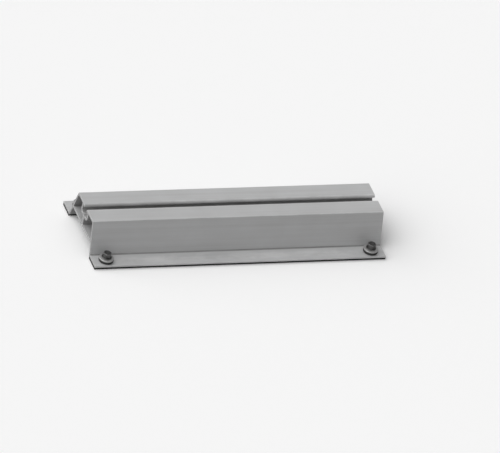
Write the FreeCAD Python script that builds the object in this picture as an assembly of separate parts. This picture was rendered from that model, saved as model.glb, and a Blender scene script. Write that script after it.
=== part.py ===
import FreeCAD, Part
import math
import os

os.makedirs("parts", exist_ok=True)
V = FreeCAD.Vector

# A short mounting rail for solar modules, in millimetres.
# X runs along the rail, -Y is the front and +Z points away from the surface that it is screwed to.
# The origin is where the rubber strips meet that surface, in the middle of the four screws.

# Extruded section, outside
rail_length = 330.0
rail_height = 37.5
top_width = 50.0
foot_width = 74.0
flange_thickness = 2.0
top_thickness = 2.2
wall_thickness = 2.0
web_thickness = 2.0

# T-slot in the middle of the top, and the stem that carries it on the web
slot_width = 7.2
lip_radius = 2.6
lip_land = 0.6
lip_nose_radius = 0.3
chamber_width = 16.0
chamber_height = 7.1
chamber_bevel = 1.4
channel_wall = 2.2
channel_floor = 2.4
channel_bevel = 3.2
guide_groove_width = 5.0
guide_groove_depth = 1.1
stem_thickness = 3.0
stem_height = 9.2

# Radii that the die leaves along the section's corners
outer_corner_radius = 0.8
inner_corner_radius = 1.0
stem_fillet_radius = 2.2
edge_radius = 0.5
groove_radius = 0.2

# Rubber strips under the flanges
strip_thickness = 2.5
strip_inset = 0.7

# Self-drilling screws
screw_end_distance = 15.0
screw_length = 25.0
thread_diameter = 6.0
neck_diameter = 4.8
hex_across_flats = 8.0
hex_height = 5.0
hex_top_chamfer_angle = 30.0
collar_ledge = 0.9
collar_thickness = 1.0
drill_step = 0.6
drill_length = 6.5
drill_tip_angle = 118.0
drill_core = 1.6
flute_radius = 1.7
head_turns = {"front_left": 0.0, "front_right": 21.0, "rear_left": 47.0, "rear_right": 12.0}

# Sealing washers under the screw heads
washer_diameter = 16.0
washer_thickness = 1.2
washer_edge = 0.4
washer_wall_gap = 1.5
washer_edge_gap = 1.75
seal_thickness = 3.2

# Clearances, each on the radius
flange_hole_clearance = 0.5
washer_hole_clearance = 0.25
pierced_rubber_clearance = 0.1

# How far a drill runs past what it cuts
cut_margin = 1.0

# Levels from the mounting surface up
flange_under = strip_thickness
flange_top = flange_under + flange_thickness
seal_top = flange_top + seal_thickness
washer_top = seal_top + washer_thickness

# Levels from the top of the rail down
rail_top = flange_under + rail_height
plate_under = rail_top - top_thickness
lip_under = rail_top - lip_radius - lip_land
chamber_floor = lip_under - chamber_height
groove_floor = chamber_floor - guide_groove_depth
channel_under = chamber_floor - channel_floor
web_top = channel_under - stem_height
web_under = web_top - web_thickness

# Distances from the middle plane
half_slot = slot_width / 2
half_groove = guide_groove_width / 2
half_stem = stem_thickness / 2
half_chamber = chamber_width / 2
half_channel = half_chamber + channel_wall
half_top = top_width / 2
half_foot = foot_width / 2
screw_row = half_foot + washer_wall_gap + washer_diameter / 2
flange_edge = screw_row + washer_diameter / 2 + washer_edge_gap

# The side walls slope, so they measure more across the section than square to their faces
wall_run = half_foot - half_top
wall_rise = rail_top - flange_top
wall_width_in_y = wall_thickness * math.hypot(wall_run, wall_rise) / wall_rise

# Radii of the turned pieces
thread_radius = thread_diameter / 2
neck_radius = neck_diameter / 2
drill_radius = thread_radius - drill_step
hex_flat_radius = hex_across_flats / 2
hex_corner_radius = hex_across_flats / math.sqrt(3)
collar_radius = hex_corner_radius + collar_ledge
washer_radius = washer_diameter / 2


def outer_wall(z):
    """Distance from the middle plane to the outer face of a side wall at height z."""
    return half_top + wall_run * (rail_top - z) / wall_rise


def inner_wall(z):
    """Distance from the middle plane to the inner face of a side wall at height z."""
    return outer_wall(z) - wall_width_in_y


def round_corner(before, corner, after, radius):
    """The two tangent points and the middle point of the arc that rounds one corner."""
    to_before = (before - corner).normalize()
    to_after = (after - corner).normalize()
    half_angle = to_before.getAngle(to_after) / 2
    reach = radius / math.tan(half_angle)
    inward = (to_before + to_after).normalize()
    middle = corner + inward * (radius / math.sin(half_angle) - radius)
    return corner + to_before * reach, middle, corner + to_after * reach


def rounded_face(corners):
    """A face in the YZ plane from corners given as (y, z, radius)."""
    points = [V(0, y, z) for y, z, radius in corners]
    rounded = []
    for index, (y, z, radius) in enumerate(corners):
        before = points[index - 1]
        after = points[(index + 1) % len(points)]
        rounded.append(round_corner(before, points[index], after, radius))
    edges = []
    for index, (start, middle, end) in enumerate(rounded):
        next_start = rounded[(index + 1) % len(rounded)][0]
        edges.append(Part.Arc(start, middle, end).toShape())
        edges.append(Part.LineSegment(end, next_start).toShape())
    return Part.Face(Part.Wire(edges))


def along_rail(face, length):
    """Extrudes a face of the YZ plane along X, centred on the origin."""
    face.translate(V(-length / 2, 0, 0))
    return face.extrude(V(length, 0, 0))


def mirrored(corners):
    """The same corners on the other side of the middle plane, in the opposite order."""
    return [(-y, z, radius) for y, z, radius in reversed(corners)]


def section_outline():
    """Outline of the section with the T-slot open at the top and the hollow open below."""
    bevel = chamber_bevel
    half = [
        (half_groove - guide_groove_depth, groove_floor, groove_radius),
        (half_groove, chamber_floor, groove_radius),
        (half_chamber - bevel, chamber_floor, edge_radius),
        (half_chamber, chamber_floor + bevel, edge_radius),
        (half_chamber, lip_under, edge_radius),
        (half_slot, lip_under, lip_nose_radius),
        (half_slot, rail_top, lip_radius),
        (half_top, rail_top, outer_corner_radius),
        (half_foot, flange_top, inner_corner_radius),
        (flange_edge, flange_top, edge_radius),
        (flange_edge, flange_under, edge_radius),
        (inner_wall(flange_under), flange_under, edge_radius),
        (inner_wall(web_under), web_under, inner_corner_radius),
    ]
    return rounded_face(half + mirrored(half))


def side_chamber():
    """Closed hollow between the T-slot channel, its stem, the web and the rear wall."""
    bevel = channel_bevel
    return rounded_face([
        (half_stem, web_top, inner_corner_radius),
        (half_stem, channel_under, stem_fillet_radius),
        (half_channel - bevel, channel_under, inner_corner_radius),
        (half_channel, channel_under + bevel, inner_corner_radius),
        (half_channel, plate_under, inner_corner_radius),
        (inner_wall(plate_under), plate_under, inner_corner_radius),
        (inner_wall(web_top), web_top, inner_corner_radius),
    ])


def screw_places():
    """Name and axis position of each of the four screws."""
    x = rail_length / 2 - screw_end_distance
    return {
        "front_left": V(-x, -screw_row, 0),
        "front_right": V(x, -screw_row, 0),
        "rear_left": V(-x, screw_row, 0),
        "rear_right": V(x, screw_row, 0),
    }


def drill_holes(shape, clearance):
    """Cuts the screw holes that meet this shape."""
    radius = thread_radius + clearance
    depth = flange_top + 2 * cut_margin
    for place in screw_places().values():
        shape = shape.cut(Part.makeCylinder(radius, depth, place - V(0, 0, cut_margin)))
    return shape


def rail_profile():
    """The extruded aluminium rail with its four flange holes."""
    body = along_rail(section_outline(), rail_length)
    rear_chamber = along_rail(side_chamber(), rail_length)
    front_chamber = rear_chamber.mirror(V(0, 0, 0), V(0, 1, 0))
    return drill_holes(body.cut([rear_chamber, front_chamber]), flange_hole_clearance)


def rubber_strip(side):
    """Self-adhesive strip cut square, under one flange; side is 1 at the rear and -1 at the front."""
    inner = inner_wall(flange_under) + strip_inset
    outer = flange_edge - strip_inset
    lowest_y = min(side * inner, side * outer)
    corner = V(-rail_length / 2, lowest_y, 0)
    strip = Part.makeBox(rail_length, outer - inner, strip_thickness, corner)
    return drill_holes(strip, pierced_rubber_clearance)


def turned(points):
    """Revolves a closed outline of (radius, z) points about the Z axis."""
    wire = Part.makePolygon([V(radius, 0, z) for radius, z in points + points[:1]])
    return Part.Face(wire).revolve(V(0, 0, 0), V(0, 0, 1), 360)


def hexagon(z, height):
    """Hexagonal prism with its base at height z."""
    first = V(hex_corner_radius, 0, z)
    corners = [Part.Vertex(first).rotated(V(0, 0, z), V(0, 0, 1), 60 * side).Point for side in range(6)]
    return Part.Face(Part.makePolygon(corners + corners[:1])).extrude(V(0, 0, height))


def hex_head():
    """Hexagon above the collar, its top corners chamfered by a cone."""
    base = washer_top + collar_thickness
    top = base + hex_height
    fall = (hex_corner_radius - hex_flat_radius) * math.tan(math.radians(hex_top_chamfer_angle))
    blank = turned([
        (0, base),
        (hex_corner_radius, base),
        (hex_corner_radius, top - fall),
        (hex_flat_radius, top),
        (0, top),
    ])
    return hexagon(base, hex_height).common(blank)


def screw_body():
    """Collar, neck, thread and drill point as one turned piece, without the flutes.

    The thread starts below the rubber strips, so that it can't lift the rail off them.
    """
    tip = washer_top - screw_length
    tip_rise = drill_radius / math.tan(math.radians(drill_tip_angle / 2))
    drill_end = tip + drill_length
    return turned([
        (0, tip),
        (drill_radius, tip + tip_rise),
        (drill_radius, drill_end),
        (thread_radius, drill_end + drill_step),
        (thread_radius, 0),
        (neck_radius, 0),
        (neck_radius, washer_top),
        (collar_radius, washer_top),
        (collar_radius, washer_top + collar_thickness),
        (0, washer_top + collar_thickness),
    ])


def drill_flutes():
    """Cutters for two round-bottomed flutes that lean outwards and run out below the thread."""
    start = V(0, drill_core / 2 + flute_radius, washer_top - screw_length)
    lean = V(0, thread_radius - drill_core / 2, drill_length).normalize()
    length = drill_length + 2 * cut_margin
    cutter = Part.makeCylinder(flute_radius, length, start - lean * cut_margin, lean)
    return [cutter, cutter.rotated(V(0, 0, 0), V(0, 0, 1), 180)]


def self_drilling_screw(turn):
    """Hex-head self-drilling screw, turned about its axis by an angle in degrees."""
    screw = screw_body().fuse(hex_head()).removeSplitter().cut(drill_flutes())
    return screw.rotated(V(0, 0, 0), V(0, 0, 1), turn)


def steel_washer():
    """Punched washer whose upper edge is broken."""
    hole = neck_radius + washer_hole_clearance
    return turned([
        (hole, seal_top),
        (washer_radius, seal_top),
        (washer_radius, washer_top - washer_edge),
        (washer_radius - washer_edge, washer_top),
        (hole, washer_top),
    ])


def rubber_seal():
    """Rubber disc bonded under the washer."""
    hole = neck_radius + pierced_rubber_clearance
    disc = Part.makeCylinder(washer_radius, seal_thickness, V(0, 0, flange_top))
    return disc.cut(Part.makeCylinder(hole, seal_thickness, V(0, 0, flange_top)))


def placed(shape, place):
    """A copy of a shape moved to a screw's axis."""
    copy = shape.copy()
    copy.translate(place)
    return copy


def all_parts():
    """Every piece of the rail set by the name of its node."""
    parts = {
        "rail_profile": rail_profile(),
        "rubber_strip_front": rubber_strip(-1),
        "rubber_strip_rear": rubber_strip(1),
    }
    for name, place in screw_places().items():
        parts["screw_" + name] = placed(self_drilling_screw(head_turns[name]), place)
        parts["washer_" + name] = placed(steel_washer(), place)
        parts["seal_" + name] = placed(rubber_seal(), place)
    return parts


for node, shape in all_parts().items():
    shape.exportStep(f"parts/{node}.step")
    print(node, shape.isValid(), len(shape.Solids), round(shape.Volume, 1))
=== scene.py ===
import math
from collections import namedtuple

import bmesh
import bpy
from mathutils import Euler, Matrix, Vector, noise
from mathutils.geometry import tessellate_polygon


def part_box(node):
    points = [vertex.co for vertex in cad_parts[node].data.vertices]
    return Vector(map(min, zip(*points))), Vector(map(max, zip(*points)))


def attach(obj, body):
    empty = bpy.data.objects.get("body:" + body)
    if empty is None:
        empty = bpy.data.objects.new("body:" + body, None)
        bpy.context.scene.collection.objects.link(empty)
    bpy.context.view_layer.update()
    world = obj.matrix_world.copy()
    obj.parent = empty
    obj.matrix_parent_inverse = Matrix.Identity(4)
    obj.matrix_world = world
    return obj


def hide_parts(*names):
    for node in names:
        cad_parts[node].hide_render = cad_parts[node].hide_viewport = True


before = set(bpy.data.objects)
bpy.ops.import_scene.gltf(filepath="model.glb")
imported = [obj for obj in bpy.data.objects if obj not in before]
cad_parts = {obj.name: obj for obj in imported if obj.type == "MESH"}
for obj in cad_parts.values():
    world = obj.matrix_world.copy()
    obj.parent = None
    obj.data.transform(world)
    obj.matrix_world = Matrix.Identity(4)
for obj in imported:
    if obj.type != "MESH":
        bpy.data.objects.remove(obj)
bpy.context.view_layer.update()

# A short aluminium rail with a hat-shaped section and a T-slot, its rubber strips and its screws.
# Lengths are in metres and written as a number of millimetres times MM.
# X runs along the rail, -Y is the front and +Z points away from the surface that it is fixed to.
MM = 0.001
BODY = "root"

# What the frame says
RAIL_LOW, RAIL_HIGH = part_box("rail_profile")
STRIP_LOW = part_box("rubber_strip_rear")[0]
SEAL_LOW, SEAL_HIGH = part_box("seal_front_left")
WASHER_LOW, WASHER_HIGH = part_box("washer_front_left")
SCREW_LOW, SCREW_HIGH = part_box("screw_front_left")

HALF_LENGTH = RAIL_HIGH.x
RAIL_TOP = RAIL_HIGH.z
FLANGE_EDGE = RAIL_HIGH.y
FLANGE_UNDER = RAIL_LOW.z
FLANGE_TOP = SEAL_LOW.z
SEAL_TOP = SEAL_HIGH.z
SEAT = WASHER_HIGH.z
HEAD_TOP = SCREW_HIGH.z
TIP = SCREW_LOW.z
WASHER_RADIUS = (WASHER_HIGH.x - WASHER_LOW.x) / 2
COLLAR_RADIUS = (SCREW_HIGH.x - SCREW_LOW.x) / 2

# Where the screws are, and how many degrees each head, washer and seal is turned
SIDES = ("front", "rear")
ENDS = ("left", "right")
HEAD_TURNS = {"front_left": 0, "front_right": 21, "rear_left": 47, "rear_right": 12}
QUARTER_TURNS = {"front_left": 0, "front_right": 90, "rear_left": 180, "rear_right": 270}

# Section of the extrusion
TOP_WIDTH = 50 * MM
FOOT_WIDTH = 74 * MM
TOP_THICKNESS = 2.2 * MM
WALL_THICKNESS = 2 * MM
WEB_THICKNESS = 2 * MM
SLOT_WIDTH = 7.2 * MM
LIP_RADIUS = 2.6 * MM
LIP_LAND = 0.6 * MM
LIP_NOSE_RADIUS = 0.3 * MM
CHAMBER_WIDTH = 16 * MM
CHAMBER_HEIGHT = 7.1 * MM
CHAMBER_BEVEL = 1.4 * MM
CHANNEL_WALL = 2.2 * MM
CHANNEL_FLOOR = 2.4 * MM
CHANNEL_BEVEL = 3.2 * MM
GROOVE_WIDTH = 5 * MM
GROOVE_DEPTH = 1.1 * MM
STEM_THICKNESS = 3 * MM
STEM_HEIGHT = 9.2 * MM
OUTER_RADIUS = 0.8 * MM
INNER_RADIUS = 1 * MM
STEM_FILLET = 2.2 * MM
EDGE_RADIUS = 0.5 * MM
GROOVE_RADIUS = 0.2 * MM
FLANGE_HOLE_RADIUS = 3.5 * MM
SHORTEST_DRILLED_FLAT = 8 * MM

# Fine edges that the tools leave, and how far beside them the wear and the painted shade fade
SAW_BURR = 0.15 * MM
WEAR_AND_SHADE_BAND = 0.5 * MM

# How finely round stretches are divided, and how near counts as the same place
ARC_STEP = math.radians(11)
HOLE_SEGMENTS = 48
TOLERANCE = 0.001 * MM

# Wear values, from a rubbed edge to the bottom of a corner; values below zero are painted shade in
# hollows, on undersides and in inner corners
RUBBED = 1.0
CUT_EDGE = 0.5
CLEAN = 0.0
# The next two values are painted shade: one for hollows and undersides, one for the bottom of inner
# corners
HOLLOW_SHADE = -0.7
CORNER_SHADE = -1.0

# Place of the saw cut in the rail's list of materials, which starts with the extruded finish
SAWN = 1

# Rubber strips, whose long edges follow a slice of scaled noise because they are cut uneven
STRIP_HOLE_RADIUS = 3.1 * MM
STRIP_CORNER = 0.3 * MM
STRIP_CORNER_BOW = 0.09 * MM
STRIP_UNEVEN = 0.15 * MM
STRIP_STATIONS = 96
STRIP_STATIONS_ACROSS = 6
UNEVEN_SCALE = (60, 8)
UNEVEN_SLICE = 3.7

# Head and collar of the screws
SCREW_SEGMENTS = 72
HEX_FLAT = 4 * MM
HEX_CORNER = 4.53 * MM
HEAD_RIM = 0.96 * HEX_FLAT
HEAD_CHAMFER = math.radians(30)
BLUNT_EDGE_HEIGHT = 0.05 * MM
BLUNT_EDGE_WIDTH = 0.07 * MM
COLLAR_HEIGHT = 1 * MM

# Rings of the dished top of the head: share of HEX_FLAT, depth in millimetres, wear; the -0.6 at
# the foot of the dish's slope is painted shade
HEAD_DISH = (
    (0.92, 0, 0.3),
    (0.80, 0, 0.2),
    (0.74, 0.06, 0.0),
    (0.66, 0.22, -0.6),
    (0.40, 0.26, 0.0),
    (0.15, 0.26, 0.0),
)

# Neck and thread of the screws; shares are of the pitch
NECK_RADIUS = 2.4 * MM
NECK_FLARE = 0.2 * MM
NECK_START = 0.3 * MM
THREAD_PITCH = 1.8 * MM
THREAD_MAJOR = 3 * MM
THREAD_CORE = 2.3 * MM
THREAD_STEPS = 120
RIDGE_HALF_SHARE = 0.24
RIDGE_STEEPNESS = 1.25
FADE_SHARE_LOW = 0.7
FADE_SHARE_HIGH = 0.5
THREAD_OVER_DRILL = 0.6 * MM

# Drill point of the screws, with two flutes that leave a thin core
DRILL_RADIUS = 2.4 * MM
DRILL_LENGTH = 6.5 * MM
DRILL_STEPS = 40
DRILL_SHOULDER = 0.1 * MM
DRILL_CORE_RADIUS = 0.8 * MM
DRILL_HALF_ANGLE = math.radians(59)
DRILL_TIP_RADIUS = 0.12 * MM
FLUTE_RADIUS = 1.7 * MM
THINNEST_DRILL = 0.05 * MM

# Washers and seals
RING_SEGMENTS = 96
WASHER_HOLE = 2.65 * MM
WASHER_HOLE_EDGE = 0.25 * MM
WASHER_DISH = 0.3 * MM
SEAL_HOLE = 2.5 * MM
SEAL_INSET = 0.4 * MM
SEAL_BULGE = 0.38 * MM
SEAL_RIM_STEPS = 8
SEAL_RIM_WEAR = 0.4
BULGE_LEAN = 0.8
BULGE_FULLNESS = 0.7

# Camera, in the same parallel view as the photograph's 500 x 453 pixels
CAMERA_AZIMUTH = math.radians(-26.87)
CAMERA_ELEVATION = math.radians(35.56)
CAMERA_ROLL = math.radians(14.50)
CAMERA_DISTANCE = 10.0
FRAME_WIDTH = 528.35 * MM
TOP_CENTRE_PIXEL = (232.0, 202.2)
FRAME_PIXELS = (500, 453)
SENSOR_WIDTH = 36.0
FARTHEST_VIEW = 100

# Floor: its grey for the camera and reflections, and the darker one that lights the rail
FLOOR_HALF = 15.0
FLOOR_GAP = 0.05 * MM
FLOOR_SEEN = 0.98
FLOOR_LIGHTING = 0.3

# Light: surroundings that glow more towards their bright side, and one wide lamp at the left end
BRIGHT_SIDE = (-0.75, 0.4, 0.85)
GLOW_FROM = (-0.5, 1.1)
GLOW_TO = (0.04, 0.77)
LAMP_AZIMUTH = math.radians(-98)
LAMP_ELEVATION = math.radians(37)
LAMP_SPREAD = math.radians(90)
LAMP_STRENGTH = 2.15


def outer_wall(z):
    """Distance from the middle plane to the outer face of a side wall at height z."""
    share = (RAIL_TOP - z) / (RAIL_TOP - FLANGE_TOP)
    return TOP_WIDTH / 2 + (FOOT_WIDTH - TOP_WIDTH) / 2 * share


def inner_wall(z):
    """Distance from the middle plane to the inner face of a side wall at height z."""
    run = (FOOT_WIDTH - TOP_WIDTH) / 2
    rise = RAIL_TOP - FLANGE_TOP
    return outer_wall(z) - WALL_THICKNESS * math.hypot(run, rise) / rise


def screw_axes():
    """Where each screw's axis meets the plane below the rubber strips, by the name of its place."""
    axes = {}
    for side in SIDES:
        for end in ENDS:
            place = f"{side}_{end}"
            low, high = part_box(f"washer_{place}")
            axes[place] = Vector(((low.x + high.x) / 2, (low.y + high.y) / 2, 0))
    return axes


def finish_piece(piece, node):
    """Lets a piece ride on the body in place of a CAD node."""
    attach(piece, BODY)
    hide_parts(node)


# Meshes made of stacked loops


class Shell:
    """Collects loops of points and the faces between them.

    Each point has a wear value: 1 on an edge that stands out, -1 for painted shade at the bottom of
    a corner.
    A face's finish is a place in the piece's list of materials.
    """

    def __init__(self):
        self.points = []
        self.wear = []
        self.faces = []
        self.finishes = []

    def loop(self, points, wear):
        """Adds points with their wear values, below zero where shade is painted, one for all or one
        for each, and returns their numbers.
        """
        first = len(self.points)
        self.points += [Vector(p) for p in points]
        self.wear += list(wear) if hasattr(wear, "__len__") else [wear] * len(points)
        return list(range(first, len(self.points)))

    def face(self, corners, finish=0):
        self.faces.append(corners)
        self.finishes.append(finish)

    def skin(self, first, second, skip=()):
        """Quads between two closed loops of as many points."""
        count = len(first)
        for i in range(count):
            if i not in skip:
                j = (i + 1) % count
                self.face((first[i], first[j], second[j], second[i]))

    def stack(self, loops):
        """Quads between each loop and the next."""
        for first, second in zip(loops, loops[1:]):
            self.skin(first, second)

    def fill(self, loops, finish=0):
        """Triangles over a flat outline, the first loop, with the other loops as holes in it."""
        flat = [i for loop in loops for i in loop]
        polygons = [[self.points[i] for i in loop] for loop in loops]
        for triangle in tessellate_polygon(polygons):
            self.face([flat[k] for k in triangle], finish)

    def close(self, ring, z, wear):
        """A fan of triangles from a ring to a point on the Z axis."""
        middle = self.loop([(0, 0, z)], wear)[0]
        for i, spot in enumerate(ring):
            self.face((spot, ring[(i + 1) % len(ring)], middle))

    def build(self, name, materials, sharp_angle=40):
        """The piece with these points and faces, smooth but for its edges past the sharp angle."""
        mesh = bpy.data.meshes.new(name)
        mesh.from_pydata(self.points, [], self.faces)
        mesh.polygons.foreach_set("material_index", self.finishes)
        attribute = mesh.attributes.new("wear", "FLOAT", "POINT")
        attribute.data.foreach_set("value", self.wear)
        work = bmesh.new()
        work.from_mesh(mesh)
        bmesh.ops.recalc_face_normals(work, faces=work.faces)
        work.to_mesh(mesh)
        work.free()
        mesh.shade_smooth()
        mesh.set_sharp_from_angle(angle=math.radians(sharp_angle))
        for material in materials:
            mesh.materials.append(material)
        piece = bpy.data.objects.new(name, mesh)
        bpy.context.scene.collection.objects.link(piece)
        weighted = piece.modifiers.new("flat faces stay flat", "WEIGHTED_NORMAL")
        weighted.keep_sharp = True
        return piece


def circle(centre, radius, z):
    turns = [2 * math.pi * i / HOLE_SEGMENTS for i in range(HOLE_SEGMENTS)]
    return [(centre.x + radius * math.cos(t), centre.y + radius * math.sin(t), z) for t in turns]


def bored_hole(shell, centre, radius, top, under):
    """The wall of a round hole with broken edges; returns its loops on the upper and lower face."""
    rims = [
        shell.loop(circle(centre, radius + SAW_BURR, top), RUBBED),
        shell.loop(circle(centre, radius, top - SAW_BURR), RUBBED),
        shell.loop(circle(centre, radius, under + SAW_BURR), RUBBED),
        shell.loop(circle(centre, radius + SAW_BURR, under), RUBBED),
    ]
    shell.stack(rims)
    return rims[0], rims[-1]


# The extruded rail

# A corner of an outline: its place, its rounding and the wear value of the flat that follows it,
# below zero where shade is painted on that flat
Corner = namedtuple("Corner", "y z radius flat_wear")


def arc_between(start, corner, end, radius):
    """Points of the arc that rounds a corner between its two tangent points."""
    to_start = (start - corner).normalized()
    to_end = (end - corner).normalized()
    half_angle = to_start.angle(to_end) / 2
    reach = radius / math.tan(half_angle)
    centre = corner + (to_start + to_end).normalized() * radius / math.sin(half_angle)
    first = corner + to_start * reach - centre
    last = corner + to_end * reach - centre
    steps = max(2, round(first.angle(last) / ARC_STEP))
    turned = [first.slerp(last, i / steps).normalized() * radius for i in range(steps + 1)]
    return [centre + arm for arm in turned]


def with_neighbours(spots):
    """Each spot of a closed outline, between the one before it and the one after it."""
    return list(zip(spots[-1:] + spots[:-1], spots, spots[1:] + spots[:1]))


def turns_left(before, spot, after):
    """Whether an outline turns left at a spot."""
    return (spot - before).cross(after - spot) > 0


def runs_left(spots):
    """Whether a closed outline has its inside on the left."""
    return sum(a.cross(b) for a, b in zip(spots, spots[1:] + spots[:1])) > 0


def rounded_outline(corners, outside):
    """Points (y, z) and wear values of a closed outline of the metal, or of a hollow in it; inner
    corners get painted shade.

    Points are added beside each rounding, so that the wear of an outer rounding and the painted
    shade of an inner one fade out on the flats.
    """
    spots = [Vector((corner.y, corner.z)) for corner in corners]
    trios = with_neighbours(spots)
    arcs = [arc_between(*trio, corner.radius) for trio, corner in zip(trios, corners)]
    leftward = runs_left(spots)
    points = []
    wear = []
    for trio, corner, arc, next_arc in zip(trios, corners, arcs, arcs[1:] + arcs[:1]):
        stands_out = outside and turns_left(*trio) == leftward
        points += arc
        # Outer roundings get wear, inner roundings get painted shade
        wear += [RUBBED if stands_out else CORNER_SHADE] * len(arc)
        run = next_arc[0] - arc[-1]
        if run.length > 3 * WEAR_AND_SHADE_BAND:
            step = run.normalized() * WEAR_AND_SHADE_BAND
            points += [arc[-1] + step, next_arc[0] - step]
            wear += [corner.flat_wear] * 2
    return points, wear


def mirrored(corners):
    """The same corners on the other side of the middle plane, in the order that goes on round."""
    count = len(corners)
    flats = [corners[(count - 2 - i) % count].flat_wear for i in range(count)]
    return [
        corner._replace(y=-corner.y, flat_wear=flat)
        for corner, flat in zip(reversed(corners), flats)
    ]


def outer_corners():
    """Corners of the section from the slot's guide groove round the outside to the web."""
    lip_under = RAIL_TOP - LIP_RADIUS - LIP_LAND
    floor = lip_under - CHAMBER_HEIGHT
    groove = floor - GROOVE_DEPTH
    web_under = floor - CHANNEL_FLOOR - STEM_HEIGHT - WEB_THICKNESS
    half = [
        # The flats inside the slot's channel, on the inner faces of the walls and under the web get
        # painted shade
        Corner(GROOVE_WIDTH / 2 - GROOVE_DEPTH, groove, GROOVE_RADIUS, HOLLOW_SHADE),
        Corner(GROOVE_WIDTH / 2, floor, GROOVE_RADIUS, HOLLOW_SHADE),
        Corner(CHAMBER_WIDTH / 2 - CHAMBER_BEVEL, floor, EDGE_RADIUS, HOLLOW_SHADE),
        Corner(CHAMBER_WIDTH / 2, floor + CHAMBER_BEVEL, EDGE_RADIUS, HOLLOW_SHADE),
        Corner(CHAMBER_WIDTH / 2, lip_under, EDGE_RADIUS, HOLLOW_SHADE),
        Corner(SLOT_WIDTH / 2, lip_under, LIP_NOSE_RADIUS, CLEAN),
        Corner(SLOT_WIDTH / 2, RAIL_TOP, LIP_RADIUS, CLEAN),
        Corner(TOP_WIDTH / 2, RAIL_TOP, OUTER_RADIUS, CLEAN),
        Corner(FOOT_WIDTH / 2, FLANGE_TOP, INNER_RADIUS, CLEAN),
        Corner(FLANGE_EDGE, FLANGE_TOP, EDGE_RADIUS, CLEAN),
        Corner(FLANGE_EDGE, FLANGE_UNDER, EDGE_RADIUS, CLEAN),
        Corner(inner_wall(FLANGE_UNDER), FLANGE_UNDER, EDGE_RADIUS, HOLLOW_SHADE),
        Corner(inner_wall(web_under), web_under, INNER_RADIUS, HOLLOW_SHADE),
    ]
    return half + mirrored(half)


def chamber_corners():
    """Corners of the closed hollow behind the slot's channel."""
    channel_under = RAIL_TOP - LIP_RADIUS - LIP_LAND - CHAMBER_HEIGHT - CHANNEL_FLOOR
    web_top = channel_under - STEM_HEIGHT
    channel_side = CHAMBER_WIDTH / 2 + CHANNEL_WALL
    plate_under = RAIL_TOP - TOP_THICKNESS
    return [
        # The chamber's walls and ceiling get painted shade; its floor, the web's top, is left clean
        Corner(STEM_THICKNESS / 2, web_top, INNER_RADIUS, HOLLOW_SHADE),
        Corner(STEM_THICKNESS / 2, channel_under, STEM_FILLET, HOLLOW_SHADE),
        Corner(channel_side - CHANNEL_BEVEL, channel_under, INNER_RADIUS, HOLLOW_SHADE),
        Corner(channel_side, channel_under + CHANNEL_BEVEL, INNER_RADIUS, HOLLOW_SHADE),
        Corner(channel_side, plate_under, INNER_RADIUS, HOLLOW_SHADE),
        Corner(inner_wall(plate_under), plate_under, INNER_RADIUS, HOLLOW_SHADE),
        Corner(inner_wall(web_top), web_top, INNER_RADIUS, CLEAN),
    ]


def inset(points, distance, inwards):
    """The outline moved by a small distance, inwards or, for a hollow, outwards into the metal."""
    side = 1 if runs_left(points) == inwards else -1
    moved = []
    for before, point, after in with_neighbours(points):
        along = (after - before).normalized()
        moved.append(point + Vector((-along.y, along.x)) * distance * side)
    return moved


def extruded_loops(shell, corners, outside):
    """The outline's points and its loops along the rail; the saw's burr draws in both end loops."""
    points, wear = rounded_outline(corners, outside)
    drawn_in = inset(points, SAW_BURR, outside)
    worn = [CUT_EDGE] * len(points)
    stations = [
        (-HALF_LENGTH, drawn_in, worn),
        (-HALF_LENGTH + SAW_BURR, points, worn),
        (-HALF_LENGTH + SAW_BURR + WEAR_AND_SHADE_BAND, points, wear),
        (HALF_LENGTH - SAW_BURR - WEAR_AND_SHADE_BAND, points, wear),
        (HALF_LENGTH - SAW_BURR, points, worn),
        (HALF_LENGTH, drawn_in, worn),
    ]
    loops = [shell.loop([(x, p.x, p.y) for p in outline], w) for x, outline, w in stations]
    return points, loops


def drilled_flats(points, z):
    """Positions in the outline of the flanges' long flat runs at height z."""
    found = []
    for i, point in enumerate(points):
        after = points[(i + 1) % len(points)]
        level = abs(point.y - z) < TOLERANCE and abs(after.y - z) < TOLERANCE
        long_enough = (after - point).length > SHORTEST_DRILLED_FLAT
        if level and long_enough and abs(point.x) > TOP_WIDTH / 2:
            found.append(i)
    return found


def bore_flanges(shell, points, near, far, tops, unders):
    """The screw holes, and the flanges' drilled faces between two loops of the outline."""
    rims = {}
    for place, axis in screw_axes().items():
        rims[place] = bored_hole(shell, axis, FLANGE_HOLE_RADIUS, FLANGE_TOP, FLANGE_UNDER)
    for side in SIDES:
        for flats, which in ((tops, 0), (unders, 1)):
            run = next(i for i in flats if (points[i].x > 0) == (side == "rear"))
            after = (run + 1) % len(points)
            border = [near[run], near[after], far[after], far[run]]
            shell.fill([border] + [rims[f"{side}_{end}"][which] for end in ENDS])


def make_rail(materials):
    """The extrusion with its flange holes and its sawn ends."""
    shell = Shell()
    points, loops = extruded_loops(shell, outer_corners(), True)
    tops = drilled_flats(points, FLANGE_TOP)
    unders = drilled_flats(points, FLANGE_UNDER)
    near, far = loops[2:4]
    shell.stack(loops[:3])
    shell.skin(near, far, skip=tops + unders)
    shell.stack(loops[3:])
    bore_flanges(shell, points, near, far, tops, unders)
    hollows = []
    for corners in (chamber_corners(), mirrored(chamber_corners())):
        hollow = extruded_loops(shell, corners, False)[1]
        shell.stack(hollow)
        hollows.append(hollow)
    for end in (0, -1):
        shell.fill([loops[end]] + [hollow[end] for hollow in hollows], finish=SAWN)
    finish_piece(shell.build("rail_extrusion", materials), "rail_profile")


# The rubber strips


def drawn_in_edge(value, low, high, inward):
    """A coordinate, moved inward if it lies at either end of its range."""
    middle = (low + high) / 2
    at_end = abs(abs(value - middle) - (high - middle)) < TOLERANCE
    return value - math.copysign(inward, value - middle) if at_end else value


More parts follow.
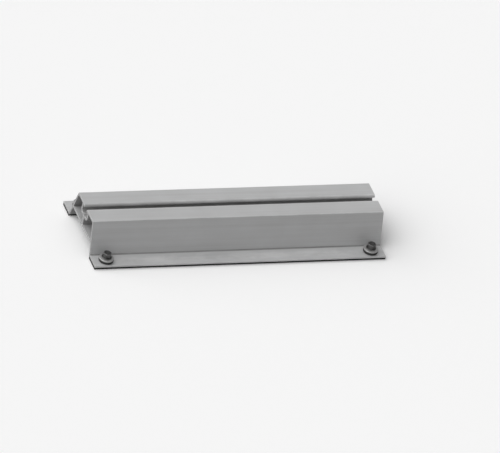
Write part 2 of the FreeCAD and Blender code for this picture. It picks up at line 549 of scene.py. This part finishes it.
def strip_outline(low, high, draw_in):
    """Plan outline of a strip, with stations every few millimetres along its uneven long edges."""
    along = [i / STRIP_STATIONS for i in range(STRIP_STATIONS + 1)]
    across = [i / STRIP_STATIONS_ACROSS for i in range(STRIP_STATIONS_ACROSS + 1)]
    xs = [low.x + (high.x - low.x) * share for share in along]
    ys = [low.y + (high.y - low.y) * share for share in across]
    corners = [(x, low.y) for x in xs[:-1]]
    corners += [(high.x, y) for y in ys[:-1]]
    corners += [(x, high.y) for x in reversed(xs[1:])]
    corners += [(low.x, y) for y in reversed(ys[1:])]
    outline = []
    for x, y in corners:
        spot = Vector((x * UNEVEN_SCALE[0], y * UNEVEN_SCALE[1], UNEVEN_SLICE))
        uneven = STRIP_UNEVEN * (0.5 + 0.5 * noise.noise(spot))
        moved_x = drawn_in_edge(x, low.x, high.x, draw_in)
        moved_y = drawn_in_edge(y, low.y, high.y, draw_in + uneven)
        outline.append((moved_x, moved_y))
    return outline


def make_strip(side, material):
    """Cellular rubber strip under one flange, pierced by its two screws."""
    node = f"rubber_strip_{side}"
    low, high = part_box(node)
    rows = [
        (high.z, STRIP_CORNER, RUBBED),
        (high.z - STRIP_CORNER_BOW, STRIP_CORNER_BOW, RUBBED),
        (high.z - STRIP_CORNER, 0, CLEAN),
        (low.z + STRIP_CORNER, 0, CLEAN),
        (low.z + STRIP_CORNER_BOW, STRIP_CORNER_BOW, CLEAN),
        (low.z, STRIP_CORNER, CLEAN),
    ]
    shell = Shell()
    loops = []
    for z, draw_in, wear in rows:
        outline = strip_outline(low, high, draw_in)
        loops.append(shell.loop([(x, y, z) for x, y in outline], wear))
    shell.stack(loops)
    axes = screw_axes()
    rims = [
        bored_hole(shell, axes[f"{side}_{end}"], STRIP_HOLE_RADIUS, high.z, low.z)
        for end in ENDS
    ]
    for face in (0, -1):
        shell.fill([loops[face]] + [rim[face] for rim in rims])
    finish_piece(shell.build(f"cellular_strip_{side}", [material]), node)


# Turned pieces: screws, washers and seals


def row_at(row, angle):
    """Radius, height and wear value of a row at one angle; a wear value below zero is painted
    shade.
    """
    return row(angle) if callable(row) else row


def turned_shell(rows, segments, hollow=False):
    """A shell of rings about the Z axis. Each row is (radius, z, wear), or a function of the angle;
    wear below zero is painted shade.

    The first and last ring of a solid are closed over the axis; those of a hollow shell are joined.
    """
    shell = Shell()
    angles = [2 * math.pi * i / segments for i in range(segments)]
    rings = []
    for row in rows:
        spots = [row_at(row, angle) for angle in angles]
        points = [(r * math.cos(a), r * math.sin(a), z) for a, (r, z, wear) in zip(angles, spots)]
        rings.append(shell.loop(points, [wear for r, z, wear in spots]))
    if hollow:
        rings.append(rings[0])
    else:
        for end in (0, -1):
            z, wear = row_at(rows[end], 0.0)[1:]
            shell.close(rings[end], z, wear)
    shell.stack(rings)
    return shell


def hex_radius(angle):
    """Distance from the axis to a hexagon with slightly blunt corners, a corner at angle 0."""
    within = angle % math.radians(60) - math.radians(30)
    return min(HEX_FLAT / math.cos(within), HEX_CORNER)


def hex_row(z, grow, wear):
    """A ring round the hexagon, grown by a small distance."""
    return lambda angle: (hex_radius(angle) + grow, z, wear)


def hex_shoulder(angle):
    """Where the side of the hexagon meets the cone that chamfers its top corners."""
    radius = hex_radius(angle)
    fall = (radius - HEAD_RIM) * math.tan(HEAD_CHAMFER)
    return radius, HEAD_TOP - fall - BLUNT_EDGE_HEIGHT, RUBBED


def hex_chamfer(angle):
    """The other side of that blunt edge, at the foot of the cone."""
    radius, z, wear = hex_shoulder(angle)
    return radius - BLUNT_EDGE_WIDTH, z + BLUNT_EDGE_HEIGHT, wear


def drill_row(z):
    """A ring of the drill point with its two leaning flutes."""
    height = z - TIP
    body = min(DRILL_RADIUS, DRILL_TIP_RADIUS + height * math.tan(DRILL_HALF_ANGLE))
    lean = (THREAD_MAJOR - DRILL_CORE_RADIUS) / DRILL_LENGTH
    away = DRILL_CORE_RADIUS + FLUTE_RADIUS + height * lean

    def spot(angle):
        aside = away * abs(math.cos(angle))
        if aside >= FLUTE_RADIUS:
            return body, z, CLEAN
        flute = away * abs(math.sin(angle)) - math.sqrt(FLUTE_RADIUS ** 2 - aside ** 2)
        return min(body, max(flute, THINNEST_DRILL)), z, CLEAN
    return spot


def thread_row(z):
    """A ring of the rolled thread, whose ridge climbs with the angle and fades at both ends."""
    low_end = TIP + DRILL_LENGTH + THREAD_OVER_DRILL

    def spot(angle):
        phase = (z / THREAD_PITCH - angle / (2 * math.pi)) % 1.0
        slope = RIDGE_STEEPNESS * (1 - abs(phase - 0.5) / RIDGE_HALF_SHARE)
        ridge = min(1.0, max(0.0, slope))
        from_drill = max(0.0, (z - low_end) / (FADE_SHARE_LOW * THREAD_PITCH))
        from_neck = max(0.0, -z / (FADE_SHARE_HIGH * THREAD_PITCH))
        height = ridge * min(1.0, from_drill, from_neck)
        return THREAD_CORE + (THREAD_MAJOR - THREAD_CORE) * height, z, height
    return spot


def shank_rows():
    """Rings of the drill point, the thread and the neck, which starts at height 0."""
    drill = [drill_row(TIP + DRILL_LENGTH * i / DRILL_STEPS) for i in range(DRILL_STEPS + 1)]
    thread_start = TIP + DRILL_LENGTH + DRILL_SHOULDER
    thread = [thread_row(thread_start * (1 - i / THREAD_STEPS)) for i in range(THREAD_STEPS)]
    neck = [
        (THREAD_CORE, 0, CLEAN),
        (NECK_RADIUS, NECK_START, CLEAN),
        (NECK_RADIUS, SEAT - NECK_FLARE, CLEAN),
        (NECK_RADIUS + NECK_FLARE, SEAT, CLEAN),
    ]
    return drill + thread + neck


def collar_rows():
    """Rings of the collar, whose edge is rounded above and below."""
    top = SEAT + COLLAR_HEIGHT
    return [
        (COLLAR_RADIUS - 0.3 * MM, SEAT, CLEAN),
        (COLLAR_RADIUS - 0.08 * MM, SEAT + 0.08 * MM, RUBBED),
        (COLLAR_RADIUS, SEAT + 0.25 * MM, RUBBED),
        (COLLAR_RADIUS, top - 0.45 * MM, RUBBED),
        (COLLAR_RADIUS - 0.1 * MM, top - 0.22 * MM, RUBBED),
        (COLLAR_RADIUS - 0.35 * MM, top - 0.1 * MM, 0.3),
    ]


def head_rows():
    """Rings of the hexagon, from its fillet on the collar to the middle of its dished top."""
    foot = SEAT + COLLAR_HEIGHT
    sides = [
        # The fillet at the foot of the hexagon gets painted shade
        hex_row(foot, 0.3 * MM, CORNER_SHADE),
        hex_row(foot + 0.1 * MM, 0.1 * MM, CORNER_SHADE),
        hex_row(foot + 0.35 * MM, 0, CLEAN),
        hex_row(HEAD_TOP - 0.7 * MM, 0, CLEAN),
        hex_shoulder,
        hex_chamfer,
    ]
    rim = [(HEAD_RIM, HEAD_TOP - 0.03 * MM, 0.8)]
    dish = [(share * HEX_FLAT, HEAD_TOP - depth * MM, wear) for share, depth, wear in HEAD_DISH]
    return sides + rim + dish


def rim_dip(radius):
    """Height of the washer's dish at this distance from its axis, zero or less."""
    share = (radius - COLLAR_RADIUS) / (WASHER_RADIUS - COLLAR_RADIUS)
    share = min(1.0, max(0.0, share))
    return -WASHER_DISH * share ** 2 * (3 - 2 * share)


def dished_rows(level, *radii):
    """Clean rings at a level that dips towards the rim."""
    return [(radius, level + rim_dip(radius), CLEAN) for radius in radii]


def millimetres(*values):
    return [value * MM for value in values]


def washer_rows():
    """Closed profile of the washer: along its underside, round its rim and back over its top."""
    under = dished_rows(SEAL_TOP, WASHER_HOLE, *millimetres(5.5, 6.0, 6.5, 7.0, 7.4, 7.8))
    top = dished_rows(SEAT, *millimetres(7.45, 7.1, 6.7, 6.3, 5.9, 5.5))
    rim_under = SEAL_TOP + rim_dip(WASHER_RADIUS)
    rim_top = SEAT + rim_dip(WASHER_RADIUS)
    edge = WASHER_RADIUS - 0.4 * MM
    rim = [
        # Values below zero paint shade on the rim's lower rounding and upright face
        (WASHER_RADIUS - 0.06 * MM, rim_under + 0.06 * MM, -0.3),
        (WASHER_RADIUS, rim_under + 0.2 * MM, -0.6),
        (WASHER_RADIUS, rim_top - 0.4 * MM, -0.6),
        (WASHER_RADIUS - 0.05 * MM, rim_top - 0.2 * MM, CLEAN),
        (WASHER_RADIUS - 0.2 * MM, rim_top - 0.05 * MM, 0.8),
        (edge, SEAT + rim_dip(edge), 0.4),
    ]
    hole = [
        (WASHER_HOLE + WASHER_HOLE_EDGE, SEAT, CLEAN),
        (WASHER_HOLE, SEAT - 0.2 * MM, CLEAN),
    ]
    return under + rim + top + hole


def seal_rows():
    """Closed profile of the seal: its rim bulges between the flange and the washer."""
    foot = SEAL_LOW.z
    height = SEAL_TOP + rim_dip(WASHER_RADIUS) - foot
    rim = []
    for i in range(SEAL_RIM_STEPS + 1):
        share = i / SEAL_RIM_STEPS
        bulge = SEAL_BULGE * math.sin(math.pi * share ** BULGE_LEAN) ** BULGE_FULLNESS
        radius = WASHER_RADIUS - SEAL_INSET + bulge
        rim.append((radius, foot + height * share, SEAL_RIM_WEAR))
    top = dished_rows(SEAL_TOP, *millimetres(7.3, 6.6, 5.9, 5.5), SEAL_HOLE)
    return [(SEAL_HOLE, foot, CLEAN)] + rim + top


def make_turned(kind, shape_name, shell, material, turns):
    """One piece at each screw's place, turned by some degrees; all of a kind share a mesh."""
    model = shell.build(shape_name, [material], sharp_angle=35)
    for i, (place, axis) in enumerate(screw_axes().items()):
        piece = model.copy() if i else model
        piece.name = f"{shape_name}_{place}"
        if i:
            bpy.context.scene.collection.objects.link(piece)
        piece.location = axis
        piece.rotation_euler = Euler((0, 0, math.radians(turns[place])))
        finish_piece(piece, f"{kind}_{place}")


# Materials


def grey(value, warmth=0.0):
    return (value + warmth, value, value - warmth, 1.0)


class Nodes:
    """A short way to write the nodes of a material or of the surroundings."""

    def __init__(self, owner, shader):
        owner.use_nodes = True
        self.tree = owner.node_tree
        self.shader = self.tree.nodes[shader]

    def add(self, kind, settings=None, **inputs):
        """A node with its settings and inputs; an input is a value or another node's output."""
        node = self.tree.nodes.new("ShaderNode" + kind)
        for key, value in (settings or {}).items():
            setattr(node, key, value)
        for key, value in inputs.items():
            self.put(node, key.replace("_", " "), value)
        return node

    def put(self, node, key, value):
        """Fills an input, given by its name, or by i and its number where names repeat."""
        numbered = key[0] == "i" and key[1:].isdigit()
        socket = node.inputs[int(key[1:]) if numbered else key]
        if isinstance(value, bpy.types.NodeSocket):
            self.tree.links.new(value, socket)
        else:
            socket.default_value = value

    def set(self, **inputs):
        """Fills inputs of the shader."""
        for key, value in inputs.items():
            self.put(self.shader, key.replace("_", " "), value)

    def place(self, scale, shift=(0, 0, 0), turn=(0, 0, 0)):
        """Object coordinates, turned by some degrees, then scaled per axis."""
        source = self.add("TexCoord").outputs["Object"]
        angles = [math.radians(angle) for angle in turn]
        turned = self.add("Mapping", Vector=source, Rotation=angles).outputs["Vector"]
        return self.add("Mapping", Vector=turned, Scale=scale, Location=shift).outputs["Vector"]

    def around_axis(self, turns_scale, radial_scale):
        """Coordinates that run round a turned piece, so that noise becomes rings on it."""
        split = self.add("SeparateXYZ", Vector=self.add("TexCoord").outputs["Object"])
        x, y, z = (split.outputs[k] for k in "XYZ")
        squares = self.math("ADD", self.math("MULTIPLY", x, x), self.math("MULTIPLY", y, y))
        radius = self.math("MULTIPLY", self.math("SQRT", squares), radial_scale)
        height = self.math("MULTIPLY", z, radial_scale)
        around = self.math("MULTIPLY", self.math("ARCTAN2", y, x), turns_scale)
        return self.add("CombineXYZ", X=radius, Y=height, Z=around).outputs["Vector"]

    def noise(self, vector, detail=3.0, roughness=0.5):
        node = self.add("TexNoise", Vector=vector, Scale=1.0, Detail=detail, Roughness=roughness)
        return node.outputs["Fac"]

    def spread(self, value, low, high, to_low=0.0, to_high=1.0):
        """Maps a value from one range to another, clamped."""
        limits = {"From_Min": low, "From_Max": high, "To_Min": to_low, "To_Max": to_high}
        return self.add("MapRange", Value=value, **limits).outputs["Result"]

    def math(self, operation, a, b=0.0):
        return self.add("Math", {"operation": operation}, i0=a, i1=b).outputs["Value"]

    def total(self, *parts):
        """The sum of some values, each times its own weight."""
        scaled = [self.math("MULTIPLY", value, weight) for value, weight in parts]
        result = scaled[0]
        for value in scaled[1:]:
            result = self.math("ADD", result, value)
        return result

    def mix(self, factor, a, b):
        """A colour between a and b."""
        node = self.add("Mix", {"data_type": "RGBA"}, i0=factor, i6=a, i7=b)
        return node.outputs[2]

    def bump(self, height, distance, strength, normal=None):
        """The surface's normal over a relief, on top of another relief where one is given."""
        below = {} if normal is None else {"Normal": normal}
        node = self.add("Bump", Height=height, Distance=distance, Strength=strength, **below)
        return node.outputs["Normal"]

    def worn(self):
        """The wear value that the mesh holds, kept above zero."""
        value = self.add("Attribute", {"attribute_name": "wear"}).outputs["Fac"]
        return self.spread(value, 0.0, 1.0)

    def painted_shade(self):
        """How much painted shade a point gets, from the wear values below zero."""
        value = self.add("Attribute", {"attribute_name": "wear"}).outputs["Fac"]
        return self.spread(value, 0.0, -1.0)


def new_material(name):
    """A material and its nodes."""
    material = bpy.data.materials.new(name)
    return material, Nodes(material, "Principled BSDF")


def fine_scratches(n, patches):
    """Short straight scratches in three directions, where the patches are strong."""
    runs = [
        n.noise(n.place((45, 2400, 2400), (shift, 0, 0), (18 * shift, 3, angle)), detail=1.0)
        for shift, angle in ((1, 24), (2, -17), (3, 71))
    ]
    deepest = n.math("MAXIMUM", n.math("MAXIMUM", runs[0], runs[1]), runs[2])
    return n.math("MULTIPLY", n.spread(deepest, 0.74, 0.8), n.spread(patches, 0.45, 0.6))


def extruded_aluminium():
    """Mill-finished aluminium: die lines along the rail, cloudy oxide, burnished edges, and painted
    shade in its hollows and inner corners.
    """
    material, n = new_material("mill_finish_aluminium")
    bands = n.noise(n.place((3, 260, 260)), detail=2.0)
    lines = n.noise(n.place((9, 2200, 2200)), roughness=0.6)
    hairs = n.noise(n.place((30, 9000, 9000), (4, 1, 2)), detail=2.0)
    clouds = n.noise(n.place((28, 55, 55)), detail=5.0, roughness=0.6)
    scratched = fine_scratches(n, clouds)
    worn = n.math("MULTIPLY", n.worn(), n.spread(clouds, 0.4, 0.65, 0.05, 0.6))
    # Painted shade in hollows, on undersides and in inner corners, a little uneven
    stains_and_painted_shade = n.math("MULTIPLY", n.painted_shade(), n.spread(clouds, 0.3, 0.7, 0.5, 0.9))

    tone = n.total((bands, 0.35), (lines, 0.35), (clouds, 0.3))
    colour = n.mix(n.spread(tone, 0.36, 0.64), grey(0.495), grey(0.58, -0.004))
    colour = n.mix(n.math("MULTIPLY", scratched, 0.5), colour, grey(0.78))
    colour = n.mix(worn, colour, grey(0.72))
    # The painted shade darkens the colour towards a dark grey
    n.set(Base_Color=n.mix(stains_and_painted_shade, colour, grey(0.2, 0.004)))

    matt = n.spread(n.total((lines, 0.5), (clouds, 0.5)), 0.35, 0.65, 0.5, 0.63)
    n.set(Roughness=n.math("SUBTRACT", matt, n.math("MULTIPLY", worn, 0.12)))

    relief = n.bump(lines, 0.02 * MM, 0.5)
    relief = n.bump(n.math("MULTIPLY", scratched, -1.0), 0.02 * MM, 0.6, relief)
    n.set(Normal=n.bump(hairs, 0.006 * MM, 0.6, relief))
    n.set(Metallic=0.4, IOR=1.5)
    return material


def sawn_aluminium():
    """Freshly sawn end: arcs left by a large circular blade, in a darker grey that is partly the
    cut's own tone and partly painted shade.
    """
    material, n = new_material("saw_cut_aluminium")
    blade = n.place((1, 1, 1), (0, 0.13, 0.09))
    arcs = n.add(
        "TexWave", {"wave_type": "RINGS", "rings_direction": "X"},
        Vector=blade, Scale=430.0, Distortion=5.0, Detail=3.0,
    ).outputs["Fac"]
    uneven = n.noise(n.place((900, 900, 900)))
    tone = n.total((arcs, 0.35), (uneven, 0.65))
    # Darker than the extruded faces: partly the cut's own tone, partly painted shade on the ends
    n.set(Base_Color=n.mix(n.spread(tone, 0.25, 0.75), grey(0.29), grey(0.40)))
    n.set(Roughness=n.spread(tone, 0.25, 0.75, 0.52, 0.42))
    n.set(Normal=n.bump(tone, 0.03 * MM, 0.7))
    n.set(Metallic=0.6, IOR=1.5)
    return material


def cellular_rubber():
    """Dark closed-cell rubber with tiny pores on its cut faces."""
    material, n = new_material("cellular_rubber")
    walls = n.add(
        "TexVoronoi", {"feature": "DISTANCE_TO_EDGE"}, Vector=n.place((1, 1, 1)), Scale=1900.0,
    ).outputs["Distance"]
    pores = n.spread(walls, 0.03, 0.22)
    grain = n.noise(n.place((1200, 1200, 1200)), detail=4.0)
    dust = n.noise(n.place((90, 90, 90)), detail=4.0)
    dark = n.mix(n.spread(grain, 0.35, 0.65), grey(0.016), grey(0.026, 0.001))
    skin = n.mix(pores, grey(0.052, 0.001), dark)
    dusty = n.math("MULTIPLY", n.spread(dust, 0.45, 0.75), 0.35)
    n.set(Base_Color=n.mix(dusty, skin, grey(0.08, 0.003)))
    n.set(Roughness=n.spread(grain, 0.3, 0.7, 0.8, 0.95))
    relief = n.bump(n.math("MULTIPLY", pores, -1.0), 0.15 * MM, 0.7)
    n.set(Normal=n.bump(grain, 0.05 * MM, 0.5, relief))
    n.set(Specular_IOR_Level=0.35)
    return material


def moulded_rubber():
    """Black vulcanised rubber, finer and smoother than the strips."""
    material, n = new_material("moulded_rubber")
    grain = n.noise(n.place((2600, 2600, 2600)))
    marks = n.noise(n.place((160, 160, 900)))
    dark = n.mix(n.spread(marks, 0.4, 0.7), grey(0.014), grey(0.035, 0.001))
    edge = n.math("MULTIPLY", n.worn(), 0.25)
    n.set(Base_Color=n.mix(edge, dark, grey(0.055)))
    n.set(Roughness=n.spread(marks, 0.3, 0.7, 0.55, 0.75))
    n.set(Normal=n.bump(grain, 0.02 * MM, 0.5))
    n.set(Specular_IOR_Level=0.4)
    return material


def cold_formed_steel():
    """Dull dark steel of the screws, bright where a driver has rubbed it, with painted shade in its
    creases.
    """
    material, n = new_material("cold_formed_steel")
    rings = n.noise(n.around_axis(0.6, 2600))
    grain = n.noise(n.place((1500, 1500, 1500)), detail=4.0)
    stains = n.noise(n.place((240, 240, 240)), detail=4.0)
    tone = n.total((rings, 0.4), (stains, 0.6))
    steel = n.mix(n.spread(tone, 0.35, 0.65), grey(0.065, 0.002), grey(0.13))
    worn = n.math("MULTIPLY", n.worn(), n.spread(grain, 0.35, 0.6, 0.15, 0.75))
    bright = n.mix(worn, steel, grey(0.28))
    # Painted shade in the fillet under the hexagon and at the foot of the dished top
    n.set(Base_Color=n.mix(n.math("MULTIPLY", n.painted_shade(), 0.7), bright, grey(0.05)))
    matt = n.spread(tone, 0.3, 0.7, 0.34, 0.52)
    n.set(Roughness=n.math("SUBTRACT", matt, n.math("MULTIPLY", worn, 0.1)))
    relief = n.bump(grain, 0.03 * MM, 0.5)
    n.set(Normal=n.bump(rings, 0.01 * MM, 0.5, relief))
    n.set(Metallic=1.0)
    return material


def pressed_steel():
    """Brighter rolled sheet of the washers with rings pressed in by the screw's collar, and painted
    shade on the upright face of the rim.
    """
    material, n = new_material("pressed_sheet_steel")
    rings = n.noise(n.around_axis(0.8, 5200))
    grain = n.noise(n.place((700, 3400, 700)))
    stains = n.noise(n.place((300, 300, 300)), detail=4.0)
    tone = n.total((rings, 0.5), (grain, 0.5))
    steel = n.mix(n.spread(tone, 0.35, 0.65), grey(0.42), grey(0.56, 0.003))
    stains_and_painted_shade = n.mix(n.spread(stains, 0.5, 0.75, 0.0, 0.5), steel, grey(0.3, 0.006))
    bright = n.mix(n.math("MULTIPLY", n.worn(), 0.5), stains_and_painted_shade, grey(0.66))
    # Painted shade on the rim's lower rounding and upright face
    n.set(Base_Color=n.mix(n.painted_shade(), bright, grey(0.13)))
    n.set(Roughness=n.spread(stains, 0.3, 0.7, 0.4, 0.52))
    n.set(Normal=n.bump(tone, 0.012 * MM, 0.5))
    n.set(Metallic=0.9)
    return material


# Stage, light and camera


def make_floor():
    """Plain pale floor where the rail rests."""
    material, n = new_material("pale_floor")
    path = n.add("LightPath").outputs
    seen = n.math("MAXIMUM", path["Is Camera Ray"], path["Is Glossy Ray"])
    seen = n.math("MAXIMUM", seen, path["Is Transmission Ray"])
    n.set(Base_Color=n.mix(seen, grey(FLOOR_LIGHTING), grey(FLOOR_SEEN)))
    n.set(Roughness=0.9, Specular_IOR_Level=0.1)
    level = STRIP_LOW.z - FLOOR_GAP
    around = ((-1, -1), (1, -1), (1, 1), (-1, 1))
    corners = [(x * FLOOR_HALF, y * FLOOR_HALF, level) for x, y in around]
    mesh = bpy.data.meshes.new("floor")
    mesh.from_pydata(corners, [], [(0, 1, 2, 3)])
    mesh.materials.append(material)
    floor = bpy.data.objects.new("floor", mesh)
    bpy.context.scene.collection.objects.link(floor)


def make_surroundings():
    """Soft studio surroundings: bright above, behind and on the left, dim low in front."""
    world = bpy.data.worlds.new("studio")
    bpy.context.scene.world = world
    n = Nodes(world, "Background")
    direction = n.add("TexCoord").outputs["Generated"]
    towards = n.add("VectorMath", {"operation": "DOT_PRODUCT"}, i0=direction, i1=BRIGHT_SIDE)
    glow = n.spread(towards.outputs["Value"], *GLOW_FROM, *GLOW_TO)
    n.set(Color=grey(1.0), Strength=glow)


def view_axes(azimuth, elevation, roll=0.0):
    """Right, up and backward directions of a view from this azimuth and elevation."""
    backward = Vector((
        math.sin(azimuth) * math.cos(elevation),
        -math.cos(azimuth) * math.cos(elevation),
        math.sin(elevation),
    ))
    level = Vector((math.cos(azimuth), math.sin(azimuth), 0))
    upright = backward.cross(level)
    right = level * math.cos(roll) + upright * math.sin(roll)
    up = upright * math.cos(roll) - level * math.sin(roll)
    return right, up, backward


def make_lamp():
    """Wide soft lamp, at an azimuth that is counted like the camera's."""
    lamp = bpy.data.lights.new("key", "SUN")
    lamp.energy = LAMP_STRENGTH
    lamp.angle = LAMP_SPREAD
    sun = bpy.data.objects.new("key", lamp)
    bpy.context.scene.collection.objects.link(sun)
    backward = view_axes(LAMP_AZIMUTH, LAMP_ELEVATION)[2]
    sun.rotation_mode = "QUATERNION"
    sun.rotation_quaternion = backward.to_track_quat("Z", "Y")


def make_camera():
    """A long lens, so that the view is near enough parallel."""
    right, up, backward = view_axes(CAMERA_AZIMUTH, CAMERA_ELEVATION, CAMERA_ROLL)
    pixel = FRAME_WIDTH / FRAME_PIXELS[0]
    rightward = FRAME_PIXELS[0] / 2 - TOP_CENTRE_PIXEL[0]
    upward = TOP_CENTRE_PIXEL[1] - FRAME_PIXELS[1] / 2
    target = Vector((0, 0, RAIL_TOP)) + (right * rightward + up * upward) * pixel
    data = bpy.data.cameras.new("camera")
    data.sensor_width = SENSOR_WIDTH
    data.lens = SENSOR_WIDTH * CAMERA_DISTANCE / FRAME_WIDTH
    data.clip_end = FARTHEST_VIEW
    camera = bpy.data.objects.new("camera", data)
    bpy.context.scene.collection.objects.link(camera)
    turn = Matrix((right, up, backward)).transposed().to_4x4()
    camera.matrix_world = Matrix.Translation(target + backward * CAMERA_DISTANCE) @ turn
    bpy.context.scene.camera = camera


make_camera()
make_floor()
make_surroundings()
make_lamp()

make_rail([extruded_aluminium(), sawn_aluminium()])
strip_rubber = cellular_rubber()
for strip_side in SIDES:
    make_strip(strip_side, strip_rubber)
screw = turned_shell(shank_rows() + collar_rows() + head_rows(), SCREW_SEGMENTS)
washer = turned_shell(washer_rows(), RING_SEGMENTS, hollow=True)
seal = turned_shell(seal_rows(), RING_SEGMENTS, hollow=True)
make_turned("screw", "self_drilling_screw", screw, cold_formed_steel(), HEAD_TURNS)
make_turned("washer", "pressed_washer", washer, pressed_steel(), QUARTER_TURNS)
make_turned("seal", "bonded_seal", seal, moulded_rubber(), QUARTER_TURNS)

bpy.context.scene.view_settings.view_transform = "Standard"
